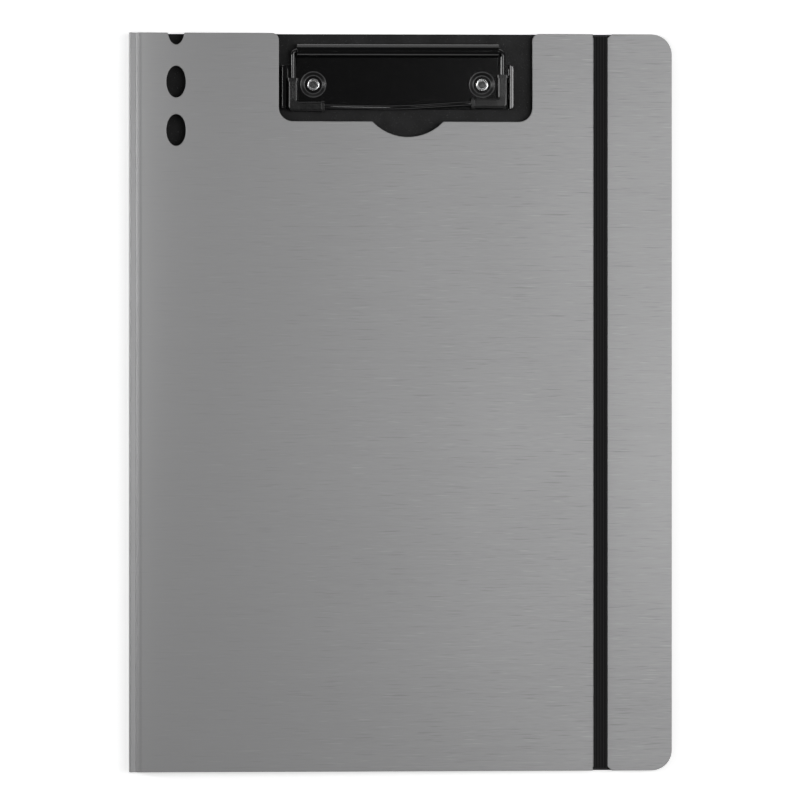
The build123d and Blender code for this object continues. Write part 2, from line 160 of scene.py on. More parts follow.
class Graph:
    """Adds nodes to one shader or geometry tree."""

    def __init__(self, tree: bpy.types.NodeTree) -> None:
        """Keeps the tree that the nodes go into."""
        self.tree = tree

    def node(
        self,
        kind: str,
        settings: dict[str, Any] | None = None,
        inputs: dict[str | int, Any] | None = None,
    ) -> bpy.types.Node:
        """Adds one node.

        Args:
            kind: Blender's name of the node type.
            settings: options, set before the inputs because they decide which inputs there are.
            inputs: a value or a Signal for each named or numbered input.

        Returns:
            The new node.
        """
        node = self.tree.nodes.new(kind)
        for name, value in (settings or {}).items():
            setattr(node, name, value)
        for key, value in (inputs or {}).items():
            self.feed(node.inputs[key], value)
        return node

    def feed(self, socket: bpy.types.NodeSocket, value: Any) -> None:
        """Fills an input.

        Args:
            socket: the input.
            value: a Signal to link to it, or a plain value to set it to.
        """
        if isinstance(value, Signal):
            self.tree.links.new(value.socket, socket)
        else:
            socket.default_value = value

    def math(self, operation: str, *values: "Signal | float") -> Signal:
        """Result of one Math node."""
        node = self.node("ShaderNodeMath", {"operation": operation}, dict(enumerate(values)))
        return Signal(self, node.outputs[0])

    def vector(self, x: "Signal | float", y: "Signal | float", z: "Signal | float" = 0.0) -> Signal:
        """Vector from its three parts."""
        node = self.node("ShaderNodeCombineXYZ", None, {"X": x, "Y": y, "Z": z})
        return Signal(self, node.outputs["Vector"])

    def parts(self, vector: Signal) -> tuple[Signal, Signal, Signal]:
        """Takes a vector apart.

        Args:
            vector: the vector.

        Returns:
            Its parts along X, Y and Z.
        """
        node = self.node("ShaderNodeSeparateXYZ", None, {"Vector": vector})
        x, y, z = (Signal(self, node.outputs[axis]) for axis in "XYZ")
        return x, y, z

    def place(self) -> tuple[Signal, Signal, Signal]:
        """Object coordinates."""
        node = self.node("ShaderNodeTexCoord")
        return self.parts(Signal(self, node.outputs["Object"]))

    def stored(self, name: str) -> tuple[Signal, Signal, Signal]:
        """The parts of a vector kept on the mesh."""
        node = self.node("ShaderNodeAttribute", {"attribute_name": name})
        return self.parts(Signal(self, node.outputs["Vector"]))

    def noise(self, x: Signal, y: Signal, z: "Signal | float" = 0.0, detail: float = 2.0) -> Signal:
        """Noise between 0 and 1.

        Args:
            x: scaled place along X.
            y: scaled place along Y.
            z: scaled place along Z, or the number of a layer of its own.
            detail: number of finer layers.

        Returns:
            The noise.
        """
        node = self.node(
            "ShaderNodeTexNoise",
            {"noise_dimensions": "3D"},
            {"Vector": self.vector(x, y, z), "Scale": 1.0, "Detail": detail},
        )
        return Signal(self, node.outputs["Fac"])

    def cells(self, x: Signal, y: Signal, z: "Signal | float") -> Signal:
        """Distance from the nearest of a field of scattered points."""
        node = self.node("ShaderNodeTexVoronoi", None, {"Vector": self.vector(x, y, z), "Scale": 1.0})
        return Signal(self, node.outputs["Distance"])

    def blend(self, share: Signal, low: Sequence[float], high: Sequence[float]) -> Signal:
        """Colour between two colours.

        Args:
            share: share of the second colour.
            low: first colour.
            high: second colour.

        Returns:
            The colour.
        """
        node = self.node(
            "ShaderNodeMix",
            {"data_type": "RGBA"},
            {0: share, 6: (*low, 1.0), 7: (*high, 1.0)},
        )
        return Signal(self, node.outputs[2])

    def bump(self, height: Signal, distance: float, strength: float = 1.0, edge: float = 0.0) -> Signal:
        """Normal of a surface raised by height times distance.

        Args:
            height: height of the surface.
            distance: length of one unit of the height.
            strength: share of the whole effect.
            edge: radius that sharp edges are shaded with, or 0.

        Returns:
            The normal.
        """
        inputs = {"Height": height, "Distance": distance, "Strength": strength}
        if edge > 0.0:
            rounded = self.node("ShaderNodeBevel", {"samples": BEVEL_SAMPLES}, {"Radius": edge})
            inputs["Normal"] = Signal(self, rounded.outputs["Normal"])
        node = self.node("ShaderNodeBump", None, inputs)
        return Signal(self, node.outputs["Normal"])


# Finishes


@dataclass(frozen=True)
class Finish:
    """A procedural material. Each kind of finish paints its own surface."""

    name: str

    def material(self) -> bpy.types.Material:
        """Builds the material when it is first asked for.

        Returns:
            The material.
        """
        made = bpy.data.materials.get(self.name)
        if made is None:
            made = bpy.data.materials.new(self.name)
            made.use_nodes = True
            made.node_tree.nodes.clear()
            graph = Graph(made.node_tree)
            surface = graph.node("ShaderNodeBsdfPrincipled")
            output = graph.node("ShaderNodeOutputMaterial")
            graph.tree.links.new(surface.outputs["BSDF"], output.inputs["Surface"])
            for socket, value in self.paint(graph).items():
                graph.feed(surface.inputs[socket], value)
        return made

    def paint(self, graph: Graph) -> dict[str, Any]:
        """Values and signals for the surface's inputs."""
        raise NotImplementedError

    def dress(self, piece: bpy.types.Object) -> None:
        """Gives a piece this material only."""
        piece.data.materials.clear()
        piece.data.materials.append(self.material())


@dataclass(frozen=True)
class BrushedFilm(Finish):
    """Metallized film with fine lines brushed along X."""

    dark: tuple[float, float, float] = (0.17, 0.17, 0.172)
    light: tuple[float, float, float] = (0.47, 0.47, 0.474)
    metal: float = 0.55
    roughness: float = 0.42
    # Heights in millimetres
    line_height: float = 0.008
    pimple_height: float = 0.03
    warp_height: float = 0.65
    wave_height: float = 0.25
    crease_at: float = 8.3 * MM
    crease_soft: float = 1.0 * MM
    warp_fade: float = 10.0 * MM
    # Share of painted sheen: the colour is lightened just past the crease
    painted_sheen: float = 0.28

    def paint(self, graph: Graph) -> dict[str, Any]:
        """Brushed lines in three widths and single dashes, on a sheet that swells at its crease, with a
        painted sheen just past the crease.

        Args:
            graph: node tree of the finish.

        Returns:
            Inputs of the surface by name.
        """
        x, y, _ = graph.stored(FLAT_PLACE)
        fine = graph.noise(x * 260.0, y * 4600.0, 0.0, 2.0) - 0.5
        middle = graph.noise(x * 110.0, y * 1900.0, 3.0, 2.0) - 0.5
        broad = graph.noise(x * 16.0, y * 420.0, 7.0, 2.0) - 0.5
        clouds = graph.noise(x * 14.0, y * 14.0, 11.0, 3.0) - 0.5
        bright = graph.noise(x * 82.0, y * 1600.0, 21.0, 1.0).between(0.62, 0.8)
        dull = graph.noise(x * 72.0, y * 1500.0, 31.0, 1.0).between(0.59, 0.78)
        pimples = 1.0 - graph.cells(x * 60.0, y * 60.0, 0.0).between(0.0, 0.035)
        lines = fine * 0.35 + middle * 0.4 + broad * 0.3 + bright * 0.55 - dull * 0.5
        # The lines grow clearer towards the fore edge
        lines = lines * (x * 5.5 + 0.1)
        # The swell is strongest at the top of the crease
        swell = graph.math("EXPONENT", graph.math("MAXIMUM", x - self.crease_at, 0.0) / -self.warp_fade)
        swell = swell * (y * 2.7 + 0.6)
        # Painted sheen: the colour is lightened just past the crease, most towards the top
        painted_sheen = swell * self.painted_sheen * x.between(self.crease_at, self.crease_at + self.crease_soft)
        waves = graph.noise(x * 9.0, y * 5.0, 41.0, 0.0)
        height = lines * self.line_height + pimples * self.pimple_height
        height = height + swell * self.warp_height + waves * self.wave_height
        return {
            "Base Color": graph.blend(lines * 0.4 + painted_sheen + 0.4, self.dark, self.light),
            "Metallic": self.metal,
            "Roughness": lines * 0.08 + clouds * 0.08 + self.roughness,
            "Normal": graph.bump(height, MM),
            "Specular IOR Level": 0.5,
        }


@dataclass(frozen=True)
class FoamBoard(Finish):
    """Black foamed sheet with a pebbled skin."""

    dark: tuple[float, float, float] = (0.003, 0.003, 0.0033)
    light: tuple[float, float, float] = (0.05, 0.05, 0.052)
    grain: float = 1700.0
    relief: float = 0.05 * MM

    def paint(self, graph: Graph) -> dict[str, Any]:
        """Fine pebbles over a soft mottle, with specks of dust.

        Args:
            graph: node tree of the finish.

        Returns:
            Inputs of the surface by name.
        """
        x, y, z = graph.place()
        pebbles = graph.cells(x * self.grain, y * self.grain, z * self.grain)
        mottle = graph.noise(x * 90.0, y * 90.0, z * 90.0, 4.0)
        dust = graph.noise(x * 1900.0, y * 1900.0, z * 1900.0, 1.0).between(0.68, 0.76)
        return {
            "Base Color": graph.blend(mottle.between(0.3, 0.7) * 0.2 + dust * 0.8, self.dark, self.light),
            "Roughness": pebbles * 0.12 + mottle * 0.1 + 0.42,
            "Normal": graph.bump(pebbles + mottle * 0.6, self.relief, 0.6),
            "Specular IOR Level": 0.26,
        }


@dataclass(frozen=True)
class RivetPair:
    """Where the clip's two rivets stand, for finishes that change round them."""

    middle_x: float = -1.35 * MM
    half_spacing: float = 36.1 * MM
    middle_y: float = 135.9 * MM

    def distance(self, x: Signal, y: Signal) -> Signal:
        """Distance of a place from the axis of the nearer rivet."""
        gap_x, gap_y = abs(x - self.middle_x) - self.half_spacing, y - self.middle_y
        return (gap_x * gap_x + gap_y * gap_y) ** 0.5


@dataclass(frozen=True)
class Enamel(Finish):
    """Baked black enamel on steel, a little worn where it is handled."""

    colour: tuple[float, float, float] = (0.0012, 0.0012, 0.0014)
    # Colour of real scratches and dust, also used for the painted highlights on the plate's dimple rings
    worn_and_highlight_colour: tuple[float, float, float] = (0.1, 0.1, 0.102)
    roughness: float = 0.09
    peel: float = 900.0
    edge: float = 0.35 * MM
    # Wire: height of its bow in millimetres, and where it bows
    bow: float = 0.0
    bow_middle: float = -2.5 * MM
    bow_length: float = 60.0 * MM
    bow_end_y: float = 130.0 * MM
    bow_fade: float = 4.0 * MM
    # Plate: painted highlights on the rings of its dimples, and the right ear's lip with its depth in
    # millimetres
    ring_highlight: float = 0.0
    ring_width: float = 0.4 * MM
    rings: tuple[float, float] = (3.9 * MM, 5.35 * MM)
    lip: tuple[float, float] = (47.85 * MM, 49.85 * MM)
    lip_hollow: float = 0.12
    rivets: RivetPair = RivetPair()

    def paint(self, graph: Graph) -> dict[str, Any]:
        """Orange peel, hairline scratches and faint dust.

        A plate also gets painted highlights on the pressed rings round its rivets, and a wire looks bowed
        across the clip.

        Args:
            graph: node tree of the finish.

        Returns:
            Inputs of the surface by name.
        """
        x, y, z = graph.place()
        peel = graph.noise(x * self.peel, y * self.peel, z * self.peel, 2.0)
        scratches = graph.noise(x * 260.0, y * 2600.0, z * 900.0, 3.0).between(0.62, 0.74)
        dust = graph.noise(x * 5200.0, y * 5200.0, z * 5200.0, 1.0).between(0.68, 0.8)
        # Heights in millimetres
        height = peel * 0.006
        if self.bow > 0.0:
            across = ((x - self.bow_middle) * (2 * math.pi / self.bow_length)).cosine()
            beyond = y.between(self.bow_end_y, self.bow_end_y + self.bow_fade)
            height = height - across * self.bow * (1.0 - beyond)
        wear_and_highlight, rough = scratches * 0.025 + dust * 0.025, self.roughness + peel * 0.05
        if self.ring_highlight > 0.0:
            inner, outer = self.rings
            distance = self.rivets.distance(x, y)
            # Painted highlights: thin light rings at the edges of the dimples round the rivets
            for ring in self.rings:
                wear_and_highlight = wear_and_highlight + (1.0 - abs(distance - ring).between(0.0, self.ring_width)) * self.ring_highlight
            beyond = distance.between(outer, outer + self.ring_width)
            slope = distance.between(inner - self.ring_width, inner) * (1.0 - beyond)
            rough = rough + slope * 0.22
            start, end = self.lip
            over = x - self.rivets.middle_x - start
            hollow = (over * (2 * math.pi / (end - start))).cosine() * self.lip_hollow
            height = height + hollow * over.between(-0.1 * MM, 0.0)
        return {
            "Base Color": graph.blend(wear_and_highlight, self.colour, self.worn_and_highlight_colour),
            "Roughness": rough + scratches * 0.12 + dust * 0.2,
            "Normal": graph.bump(height, MM, 1.0, self.edge),
            "Specular IOR Level": 0.5,
        }


@dataclass(frozen=True)
class PlatedMetal(Finish):
    """Dull plated metal with pits, with painted shade in the cups of a pair of rivets."""

    colour: tuple[float, float, float] = (0.75, 0.75, 0.755)
    # Colour of the painted shade in the rivets' cups
    cup_shade: tuple[float, float, float] = (0.05, 0.05, 0.05)
    roughness: float = 0.14
    edge: float = 0.15 * MM
    relief: float = 0.02 * MM
    cup_radius: float = 1.95 * MM
    rivets: RivetPair = RivetPair()

    def paint(self, graph: Graph) -> dict[str, Any]:
        """Bright rims, cups darkened by painted shade, pits and a satin grain.

        Args:
            graph: node tree of the finish.

        Returns:
            Inputs of the surface by name.
        """
        x, y, z = graph.place()
        stain = graph.noise(x * 1400.0, y * 1400.0, z * 1400.0, 4.0)
        pits = graph.cells(x * 4200.0, y * 4200.0, z * 4200.0)
        distance = self.rivets.distance(x, y)
        # Painted shade: the colour darkens inside the rivets' cups
        cup = 1.0 - distance.between(self.cup_radius * 0.75, self.cup_radius * 1.05)
        return {
            "Base Color": graph.blend(
                stain.between(0.4, 0.75) * 0.3 + cup * 0.93, self.colour, self.cup_shade
            ),
            "Metallic": 0.95,
            "Roughness": stain * 0.15 + cup * 0.15 + self.roughness,
            "Normal": graph.bump(pits * 0.5 + stain, self.relief, 0.4, self.edge),
        }


@dataclass(frozen=True)
class MouldedPlastic(Finish):
    """Matte black moulded plastic with a spark-eroded texture."""

    dark: tuple[float, float, float] = (0.003, 0.003, 0.0031)
    light: tuple[float, float, float] = (0.006, 0.006, 0.0062)
    edge: float = 0.15 * MM
    relief: float = 0.008 * MM

    def paint(self, graph: Graph) -> dict[str, Any]:
        """Sandy texture with slightly polished places.

        Args:
            graph: node tree of the finish.

        Returns:
            Inputs of the surface by name.
        """
        x, y, z = graph.place()
        sand = graph.noise(x * 4200.0, y * 4200.0, z * 4200.0, 3.0)
        polish = graph.noise(x * 320.0, y * 320.0, z * 320.0, 2.0)
        return {
            "Base Color": graph.blend(sand.between(0.35, 0.7), self.dark, self.light),
            "Roughness": sand * 0.08 + polish * 0.08 + 0.16,
            "Normal": graph.bump(sand, self.relief, 0.5, self.edge),
            "Specular IOR Level": 0.5,
        }


@dataclass(frozen=True)
class Elastic(Finish):
    """Black woven elastic: rubber ribs along it, covered by thread across it."""

    dark: tuple[float, float, float] = (0.0012, 0.0012, 0.0013)
    light: tuple[float, float, float] = (0.026, 0.026, 0.0265)
    thread_pitch: float = 0.42 * MM
    rib_pitch: float = 1.2 * MM
    relief: float = 0.03 * MM

    def paint(self, graph: Graph) -> dict[str, Any]:
        """Threads across the ribs, slanted one way and then the other, with a little fuzz, and painted shade
        in the grooves between the ribs.

        Args:
            graph: node tree of the finish.

        Returns:
            Inputs of the surface by name.
        """
        across, along, _ = graph.stored(WEAVE_PLACE)
        turn = 2 * math.pi / self.thread_pitch
        slant = (across * (2 * math.pi / self.rib_pitch)).sine() * 0.9
        threads = (along * turn + slant).sine() * 0.5 + 0.5
        fuzz = graph.noise(across * 9000.0, along * 5000.0, 0.0, 2.0)
        # Painted shade: the colour is darker in the grooves between the ribs and lighter on their crests
        rib_shading = abs((across * (math.pi / self.rib_pitch)).cosine())
        return {
            "Base Color": graph.blend(rib_shading**3.0 * (threads * 0.3 + fuzz * 0.7), self.dark, self.light),
            "Roughness": fuzz * 0.15 + 0.55,
            "Normal": graph.bump(threads * 0.7 + fuzz * 0.3, self.relief, 0.8),
            "Specular IOR Level": 0.15,
        }


@dataclass(frozen=True)
class StudioFloor(Finish):
    """Plain pale paper that runs out to white."""

    dark: tuple[float, float, float] = (0.86, 0.86, 0.86)
    light: tuple[float, float, float] = (0.9, 0.9, 0.9)
    glow: float = 0.5
    relief: float = 0.02 * MM

    def paint(self, graph: Graph) -> dict[str, Any]:
        """Faint paper tooth, with some light of its own that is only seen, and lights nothing.

        Args:
            graph: node tree of the finish.

        Returns:
            Inputs of the surface by name.
        """
        x, y, _ = graph.place()
        tooth = graph.noise(x * 900.0, y * 900.0, 0.0, 3.0)
        rays = graph.node("ShaderNodeLightPath").outputs
        kinds = ("Is Camera Ray", "Is Glossy Ray", "Is Transmission Ray")
        direct, mirrored, clear = (Signal(graph, rays[kind]) for kind in kinds)
        seen = graph.math("MAXIMUM", graph.math("MAXIMUM", direct, mirrored), clear)
        return {
            "Base Color": graph.blend(tooth, self.dark, self.light),
            "Roughness": tooth * 0.1 + 0.8,
            "Normal": graph.bump(tooth, self.relief, 0.3),
            "Specular IOR Level": 0.1,
            "Emission Color": graph.blend(seen, (0.0, 0.0, 0.0), (1.0, 1.0, 1.0)),
            "Emission Strength": self.glow,
        }


# Films


@dataclass(frozen=True)
class FoldSizes:
    """Sizes of the folds, the same as in the frame."""

    crease_inset: float = 2.8 * MM
    crease_half_width: float = 1.7 * MM
    crease_depth: float = 0.8 * MM
    crease_play: float = 0.15 * MM
    spine_corner_radius: float = 1.0 * MM
    rim_radius: float = 0.4 * MM
    valley_radius: float = 0.55 * MM
    leaf_radius: float = 5.0 * MM
    bend_half_width: float = 1.2 * MM
    crease_margin: float = 0.05 * MM
    run_on: float = 2.0 * MM


class FoldLine:
    """Smooth line across the folder, in X and Z, followed by its own length."""

    def __init__(self, corners: Sequence[tuple[Vector, float]], side: Side, steps: int = 7) -> None:
        """Rounds the corners of a bent line.

        Args:
            corners: places in X and Z, each with its radius, which is 0 at the two ends.
            side: which way the film's outer face looks.
            steps: straight pieces in each rounded corner.
        """
        self.turned = side.value
        points = [corners[0][0]]
        self.bends: list[float] = []
        for (before, _), (corner, radius), (after, _) in zip(corners, corners[1:], corners[2:]):
            arriving, leaving = (corner - before).normalized(), (after - corner).normalized()
            turn = arriving.angle_signed(leaving)
            reach = radius * math.tan(abs(turn) / 2)
            centre = corner + (leaving - arriving).normalized() * (radius / math.cos(turn / 2))
            spoke = corner - arriving * reach - centre
            for step in range(steps + 1):
                angle = turn * step / steps
                cos, sin = math.cos(angle), math.sin(angle)
                # angle_signed is positive clockwise
                points.append(centre + Vector((spoke.x * cos + spoke.y * sin, spoke.y * cos - spoke.x * sin)))
        points.append(corners[-1][0])
        self.points = points
        self.lengths = [0.0]
        for here, there in zip(points, points[1:]):
            self.lengths.append(self.lengths[-1] + (there - here).length)
        self.cuts = self.lengths[1:-1]

    def _outward(self, index: int) -> Vector:
        """Outward direction of one straight piece, counted from the start."""
        run = (self.points[index + 1] - self.points[index]).normalized()
        return Vector((-run.y, run.x)) * self.turned

    def at(self, length: float) -> tuple[Vector, Vector]:
        """Finds one place of the line.

        Args:
            length: length from the start.

        Returns:
            The place and the outward direction there, in X and Z.
        """
        last = len(self.points) - 2
        index = 0
        while index < last and self.lengths[index + 1] < length - 1e-9:
            index += 1
        start, end = self.lengths[index], self.lengths[index + 1]
        share = (length - start) / (end - start)
        place = self.points[index].lerp(self.points[index + 1], share)
        here = self._outward(index)
        if share > 0.999 and index < last:
            here = here + self._outward(index + 1)
        elif share < 0.001 and index > 0:
            here = here + self._outward(index - 1)
        return place, here.normalized()


@dataclass(frozen=True)
class FilmEdge:
    """The rolled edge of a film where the sheet was cut."""

    thickness: float = 0.3 * MM
    reach: float = 0.28 * MM
    drop: float = 0.2 * MM
    steps: int = 5


def outer_loops(node: str, outward: Vector) -> list[list[Vector]]:
    """Outlines of the outermost flat face of a frame node.

    Args:
        node: name of the node.
        outward: direction that the face looks in.

    Returns:
        Closed outlines in the frame's axes, the largest first.
    """
    mesh = bmesh.new()
    mesh.from_mesh(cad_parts[node].data)
    bmesh.ops.remove_doubles(mesh, verts=mesh.verts, dist=1e-6)
    top = max(v.co.dot(outward) for v in mesh.verts if v.co.x > 0)
    faces = {
        f
        for f in mesh.faces
        if f.normal.dot(outward) > 0.9999 and abs(f.calc_center_median().dot(outward) - top) < 2e-5
    }
    after: dict[bmesh.types.BMVert, bmesh.types.BMVert] = {}
    for face in faces:
        for loop in face.loops:
            if sum(f in faces for f in loop.edge.link_faces) == 1:
                after[loop.vert] = loop.link_loop_next.vert
    loops = []
    while after:
        start, vertex = after.popitem()
        loop = [start.co.copy()]
        while vertex is not start:
            loop.append(vertex.co.copy())
            vertex = after.pop(vertex)
        loops.append(loop)
    mesh.free()
    return sorted(loops, key=lambda loop: abs(signed_area(loop)), reverse=True)


def signed_area(loop: Sequence[Vector]) -> float:
    """Area of a closed outline, positive when it runs anticlockwise."""
    return sum(a.x * b.y - b.x * a.y for a, b in zip(loop, [*loop[1:], loop[0]])) / 2


def spaced(loop: Sequence[Vector], gap: float = 0.02 * MM) -> list[Vector]:
    """Thins out an outline.

    Args:
        loop: the outline.
        gap: least distance between two points.

    Returns:
        The outline without points that lie closer than gap to the one before.
    """
    kept = [loop[0]]
    for point in loop[1:]:
        if (point - kept[-1]).length > gap:
            kept.append(point)
    return kept


class Film:
    """A thin film laid over a leaf and round half of the spine, with rolled cut edges."""

    def __init__(self, name: str, line: FoldLine, loops: list[list[Vector]], edge: FilmEdge) -> None:
        """Keeps what the film is made from.

        Args:
            name: name of the piece.
            line: fold line that the film follows.
            loops: outlines in length along the line and Y, the outer one first.
            edge: sizes of its cut edge.
        """
        self.name = name
        self.line = line
        self.loops = loops
        self.edge = edge

    def _rings(self, mesh: bmesh.types.BMesh, loop: list[Vector], outer: bool) -> tuple[list, list]:
        """Builds the side wall and the rolled edge along one outline.

        Args:
            mesh: mesh that they go into.
            loop: the outline.
            outer: whether it is the film's outer outline and not a hole.

        Returns:
            Its lowest and its highest edges.
        """
        if (signed_area(loop) > 0) != outer:
            loop = loop[::-1]
        inward, count = [], len(loop)
        for index, point in enumerate(loop):
            arriving = (point - loop[index - 1]).normalized()
            leaving = (loop[(index + 1) % count] - point).normalized()
            mitre = Vector((-arriving.y - leaving.y, arriving.x + leaving.x))
            inward.append(mitre / max(mitre.length_squared / 2, 0.4))
        rows = [(0.0, -self.edge.thickness, 0.0)]
        for step in range(self.edge.steps + 1):
            angle = math.pi / 2 * step / self.edge.steps
            rows.append(
                (
                    self.edge.reach * (1 - math.cos(angle)),
                    -self.edge.drop * (1 - math.sin(angle)),
                    angle,
                )
            )
        normals = mesh.verts.layers.float_vector[FLAT_NORMAL]
        rings = []
        for inset, height, angle in rows:
            ring = []
            for point, way in zip(loop, inward):
                vertex = mesh.verts.new((*(point + way * inset), height))
                side = -way.normalized() * math.cos(angle) * self.edge.drop
                vertex[normals] = Vector((*side, math.sin(angle) * self.edge.reach)).normalized()
                ring.append(vertex)
            rings.append(ring)
        for low, high in zip(rings, rings[1:]):
            for index in range(count):
                following = (index + 1) % count
                mesh.faces.new((low[index], low[following], high[following], high[index]))
        lowest = [mesh.edges.get((a, b)) for a, b in zip(rings[0], rings[0][1:] + rings[0][:1])]
        highest = [mesh.edges.get((a, b)) for a, b in zip(rings[-1], rings[-1][1:] + rings[-1][:1])]
        return lowest, highest

    def build(self) -> bpy.types.Object:
        """Builds the film flat, cuts it along the folds and lays it on its line.

        Returns:
            The film.
        """
        mesh = bmesh.new()
        normals = mesh.verts.layers.float_vector.new(FLAT_NORMAL)
        lowest, highest = [], []
        for index, loop in enumerate(self.loops):
            low, high = self._rings(mesh, loop, index == 0)
            lowest += low
            highest += high
        bmesh.ops.triangle_fill(mesh, use_beauty=True, edges=highest, normal=(0, 0, 1))
        under = bmesh.ops.triangle_fill(mesh, use_beauty=True, edges=lowest, normal=(0, 0, -1))
        under_faces = [g for g in under["geom"] if isinstance(g, bmesh.types.BMFace)]
        for face in under_faces:
            if face.normal.z > 0:
                face.normal_flip()
        for cut in [0.0, *self.line.cuts]:
            bmesh.ops.bisect_plane(
                mesh,
                geom=[*mesh.verts, *mesh.edges, *mesh.faces],
                dist=1e-8,
                plane_co=(cut, 0, 0),
                plane_no=(-1, 0, 0),
                clear_outer=cut == 0.0,
            )
        open_edges = [e for e in mesh.edges if e.is_boundary]
        bmesh.ops.holes_fill(mesh, edges=open_edges, sides=0)
        bmesh.ops.triangulate(mesh, faces=[f for f in mesh.faces if len(f.verts) > 4])
        mesh.verts.ensure_lookup_table()
        flat = [v.co.copy() for v in mesh.verts]
        shading = []
        for vertex in mesh.verts:
            length, y, height = vertex.co
            place, outward = self.line.at(length)
            along = Vector((outward.y, -outward.x)) * self.line.turned
            facing = vertex[normals]
            vertex.co = (place.x + outward.x * height, y, place.y + outward.y * height)
            tilt = along * facing.x + outward * facing.z
            shading.append(Vector((tilt.x, facing.y, tilt.y)).normalized())
        if self.line.turned < 0:
            bmesh.ops.reverse_faces(mesh, faces=mesh.faces)
        for face in mesh.faces:
            face.smooth = True
        data = bpy.data.meshes.new(self.name)
        mesh.to_mesh(data)
        mesh.free()
        data.attributes.remove(data.attributes[FLAT_NORMAL])
        kept = data.attributes.new(FLAT_PLACE, "FLOAT_VECTOR", "POINT")
        kept.data.foreach_set("vector", [c for place in flat for c in place])
        data.normals_split_custom_set_from_vertices(shading)
        piece = bpy.data.objects.new(self.name, data)
        bpy.context.scene.collection.objects.link(piece)
        return piece


@dataclass(frozen=True)
class Covers:
    """The two films, which also cover the spine, and the black sheet under them."""

    fold: FoldSizes = FoldSizes()
    edge: FilmEdge = FilmEdge()
    film: Finish = BrushedFilm("brushed_film")
    sheet: Finish = FoamBoard("foam_board")

    def _leaf(self, side: Side) -> tuple[Vector, Vector]:
        """Finds how a leaf lies.

        Args:
            side: front or back.

        Returns:
            Its start at the crease and its direction, in X and Z.
        """
        low, high = cad_box
        crease_x = low.x + self.fold.crease_inset
        if side is Side.BACK:
            return Vector((crease_x, low.z)), Vector((1.0, 0.0))
        skin_low, skin_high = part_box("front_skin")
        fore_drop = high.z - self._fore_top(skin_high.x)
        run = Vector((skin_high.x - crease_x, -fore_drop))
        return Vector((crease_x, high.z)), run.normalized()

    def _fore_top(self, fore_x: float) -> float:
        """Height of the front film at the fore edge."""
        corners = [v.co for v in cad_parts["front_skin"].data.vertices if v.co.x > fore_x - 0.02 * MM]
        return max(c.z for c in corners)

    def _line(self, side: Side) -> tuple[FoldLine, float]:
        """Lays out a fold line from the middle of the spine to the fore edge.

        Args:
            side: front or back.

        Returns:
            The line, and its length up to the crease.
        """
        low, high = cad_box
        fold, (start, run) = self.fold, self._leaf(side)
        up = Vector((-run.y, run.x)) * side.value
        level = high.z if side is Side.FRONT else low.z
        sunk = level - side.value * fold.crease_depth
        middle = Vector((low.x, (low.z + high.z) / 2))
        reach = high.x - start.x
        line = FoldLine(
            [
                (middle, 0.0),
                (Vector((low.x, level)), fold.spine_corner_radius),
                (Vector((start.x - fold.crease_half_width, level)), fold.rim_radius),
                (Vector((start.x - fold.crease_play, sunk)), fold.valley_radius),
                (start + run * fold.crease_play - up * fold.crease_depth, fold.valley_radius),
                (start + run * fold.crease_half_width, fold.leaf_radius),
                (start + run * reach, 0.0),
            ],
            side,
        )
        length_to_crease = line.lengths[-1] - reach
        return line, length_to_crease

    def _film(self, side: Side, node: str, name: str) -> bpy.types.Object:
        """Builds one film with the outline of its frame node.

        Args:
            side: front or back.
            node: name of the frame node.
            name: name of the film.

        Returns:
            The film.
        """
        line, to_crease = self._line(side)
        start, run = self._leaf(side)
        outward = Vector((-run.y, 0.0, run.x)) * side.value
        loops = []
        for loop in outer_loops(node, outward):
            flat = []
            for place in loop:
                along = (Vector((place.x, place.z)) - start).dot(run)
                # An end on the crease runs on past the line's start, where the film is cut off
                on_crease = along < self.fold.crease_half_width + self.fold.crease_margin
                flat.append(Vector((-self.fold.run_on if on_crease else along + to_crease, place.y)))
            loops.append(spaced(flat))
        piece = Film(name, line, loops, self.edge).build()
        self.film.dress(piece)
        return piece

    def build(self) -> list[bpy.types.Object]:
        """Builds both films and dresses the sheets.

        Returns:
            The films.
        """
        front = self._film(Side.FRONT, "front_skin", "front_film")
        back = self._film(Side.BACK, "back_skin", "back_film")
        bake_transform(front)
        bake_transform(back)
        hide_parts("front_skin", "spine_skin")
        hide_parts("back_skin")
        for node in ("back_board", "spine_board", "front_board"):
            self.sheet.dress(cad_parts[node])
        return [front, back]


# Clip


@dataclass(frozen=True)
class Clip:
    """The clip: its pressed plate, wire bail, corner caps and rivets."""

    # The plate carries painted highlights on its dimple rings
    plate: Finish = Enamel("clip_enamel", ring_highlight=0.6)
    wire: Finish = Enamel("wire_enamel", colour=(0.004, 0.004, 0.0044), peel=1500.0, bow=2.0)
    cap: Finish = MouldedPlastic("cap_moulding")
    rivet: Finish = PlatedMetal("rivet_plating")

    def build(self) -> list[bpy.types.Object]:
        """Dresses the frame's own pieces.

        Returns:
            The pieces.
        """
        finishes = {
            "clip_base_plate": self.plate,
            "wire_bail": self.wire,
            "corner_cap_left": self.cap,
            "corner_cap_right": self.cap,
            "clip_rivets": self.rivet,
        }
        for node, finish in finishes.items():
            finish.dress(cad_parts[node])
        return [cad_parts[node] for node in finishes]


# Band


